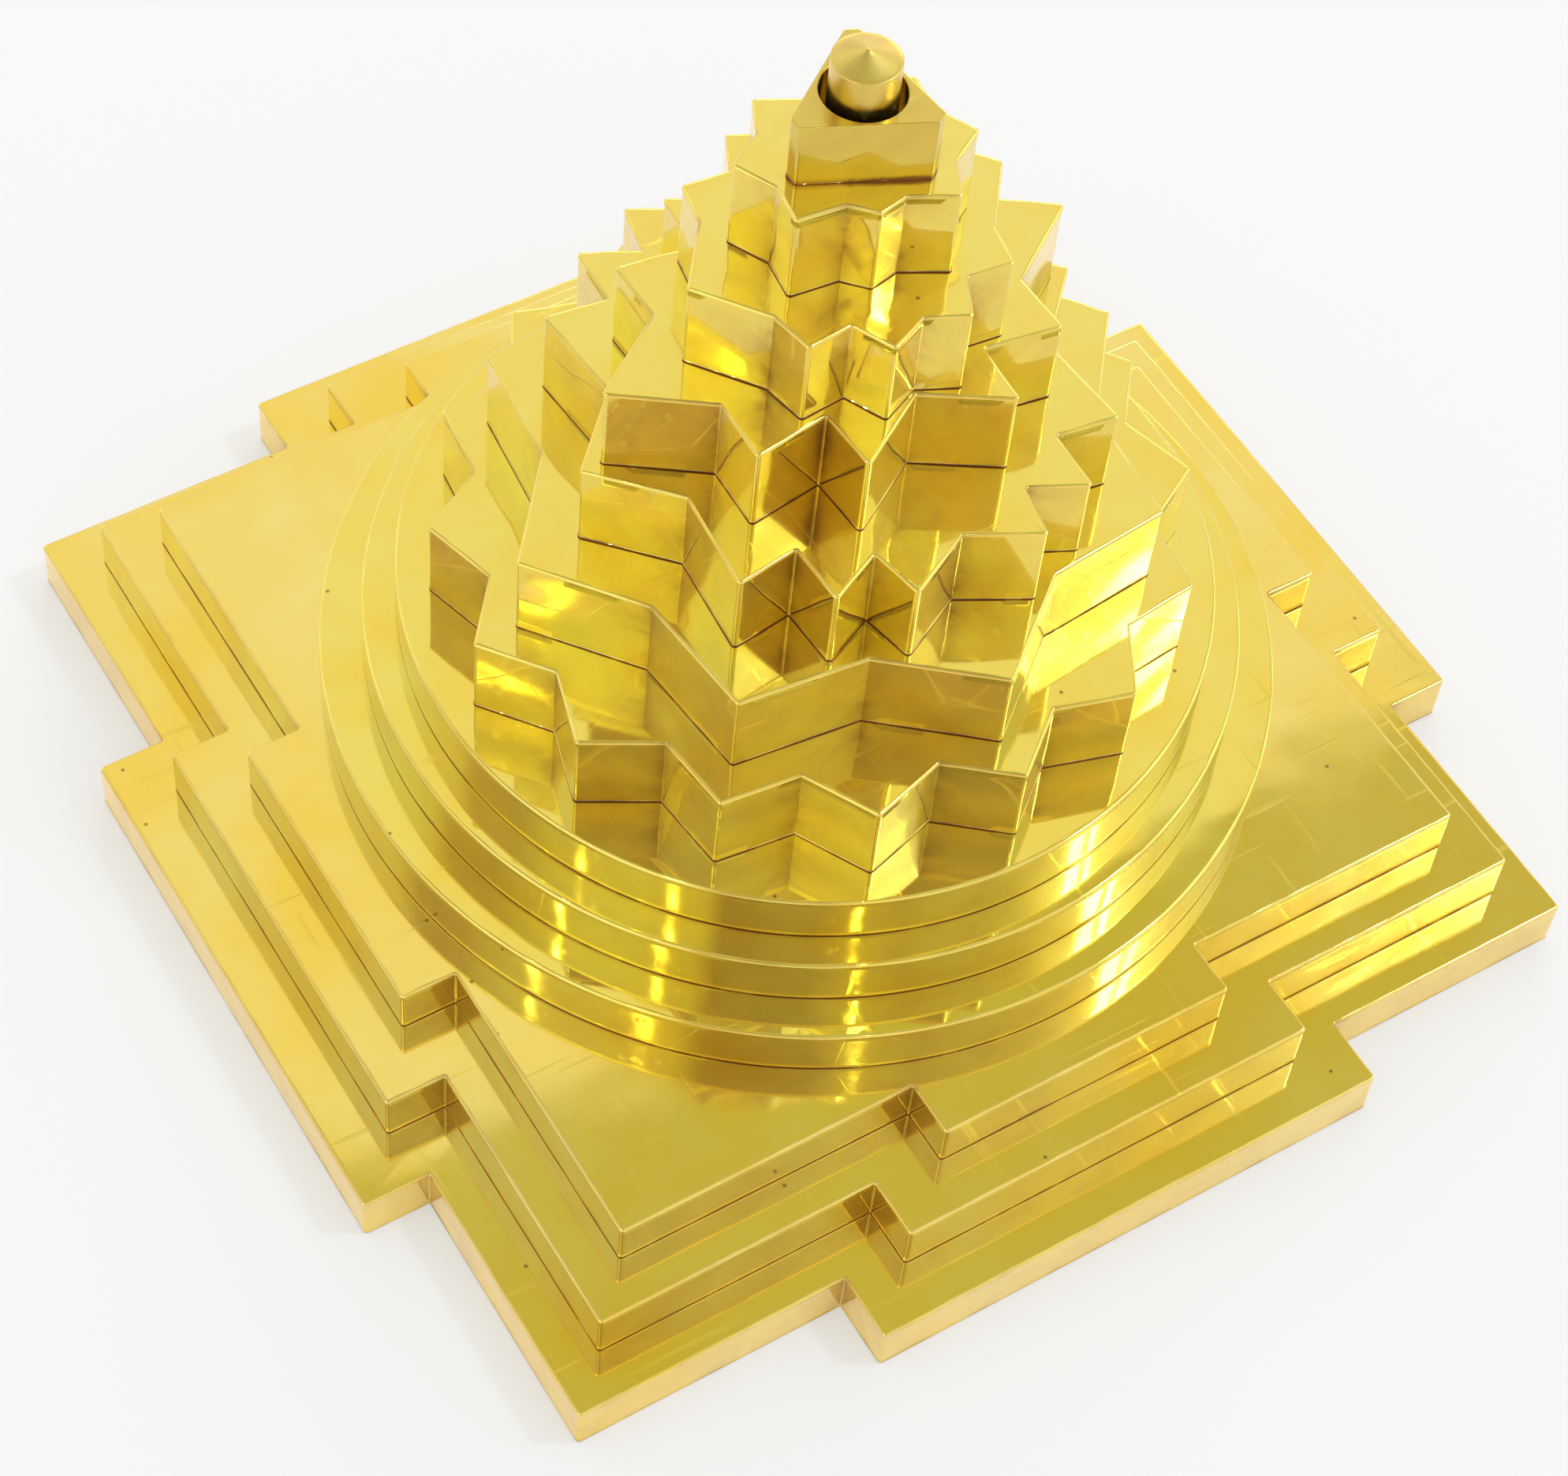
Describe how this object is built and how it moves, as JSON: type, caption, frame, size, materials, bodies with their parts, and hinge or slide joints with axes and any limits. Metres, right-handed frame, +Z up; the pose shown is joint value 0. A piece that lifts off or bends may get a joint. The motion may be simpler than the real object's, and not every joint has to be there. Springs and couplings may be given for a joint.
{
  "type": "meru shri yantra",
  "caption": "Stepped brass meru shri yantra: square plates with gates, round discs and star tiers narrowing to a triangular block with a loose lift-out bindu.",
  "frame": {"origin": "middle of the flat underside, on the surface that the object stands on", "axes": "+Z up through the bindu; the four gates lie on X and Y, and the stars' long axis lies along X"},
  "size_m": [0.1346, 0.1346, 0.1063],
  "materials": {
    "plate_brass": "mirror polished by hand, slightly wavy",
    "disc_brass": "turned and mirror polished",
    "star_brass": "filed and mirror polished by hand",
    "bindu_brass": "turned and polished",
    "plain_steel": "plain zinc-plated, hidden"
  },
  "bodies": {
    "stack": {"bhupura_lower": "plate_brass", "bhupura_middle": "plate_brass", "bhupura_upper": "plate_brass", "disc_lower": "disc_brass", "disc_middle": "disc_brass", "disc_upper": "disc_brass", "star_sixteen": "star_brass", "star_eight": "star_brass", "star_fourteen": "star_brass", "star_ten_outer": "star_brass", "star_ten_inner": "star_brass", "star_eight_inner": "star_brass", "top_triangle": "star_brass", "tie_rod": "plain_steel", "tie_washer": "plain_steel", "tie_nut": "plain_steel", "dowel_left": "plain_steel", "dowel_right": "plain_steel", "star_pin_left": "plain_steel", "star_pin_right": "plain_steel", "block_pin_front": "plain_steel", "block_pin_right": "plain_steel", "block_pin_left": "plain_steel"},
    "bindu_peg": {"bindu": "bindu_brass"}
  },
  "joints": [
    {"name": "bindu_lift", "type": "slide", "parent": "stack", "child": "bindu_peg", "axis": [0, 0, 1], "range_m": [0, 0.012]}
  ]
}
